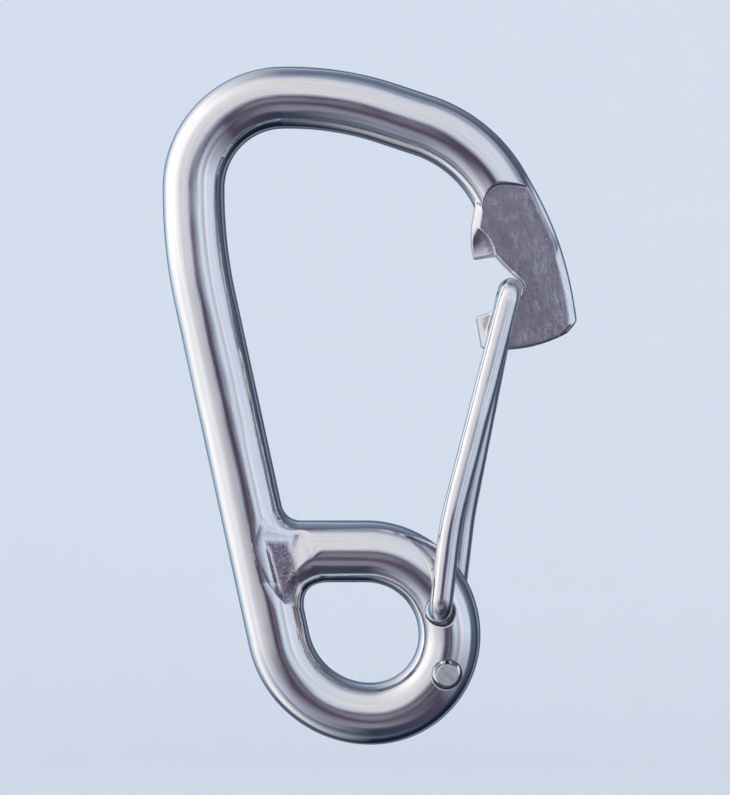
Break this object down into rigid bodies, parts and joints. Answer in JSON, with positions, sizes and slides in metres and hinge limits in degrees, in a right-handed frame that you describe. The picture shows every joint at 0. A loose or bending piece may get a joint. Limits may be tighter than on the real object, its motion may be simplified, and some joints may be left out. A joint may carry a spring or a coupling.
{
  "type": "snap hook",
  "caption": "Bent-bar stainless snap hook with a welded eye, a milled nose and a sprung wire gate, for clipping lines and fittings on a boat.",
  "frame": {"origin": "centre of the eye, on the mid-plane of the bar", "axes": "+Z from the eye towards the bow, along the hook; +X from the spine towards the gate; +Y through the hook from its front to its back"},
  "size_m": [0.0734, 0.0198, 0.1203],
  "materials": {
    "polished_bar": "mirror-polished stainless steel, with milled flats at the nose",
    "ground_weld": "weld ground smooth and roughly polished",
    "gate_wire": "polished spring-hard stainless wire"
  },
  "bodies": {
    "hook": {"hook_body": "polished_bar", "eye_weld": "ground_weld"},
    "gate_front": {"gate_wire_front": "gate_wire"},
    "gate_rear": {"gate_wire_rear": "gate_wire"}
  },
  "joints": [
    {"name": "gate_pivot", "type": "hinge", "parent": "hook", "child": "gate_front", "pos_m": [0.0136, 0, 0.004], "axis": [0, -1, 0], "range_deg": [0, 44], "stiffness_Nm_per_rad": 0.6, "springref_deg": -17.19},
    {"name": "crossbar_twist", "type": "hinge", "parent": "gate_front", "child": "gate_rear", "pos_m": [0.0261, 0, 0.0607], "axis": [0, -1, 0], "range_deg": [-8, 0]}
  ],
  "couplings": [
    {"joint": "crossbar_twist", "follows": "gate_pivot", "ratio": -0.162}
  ]
}
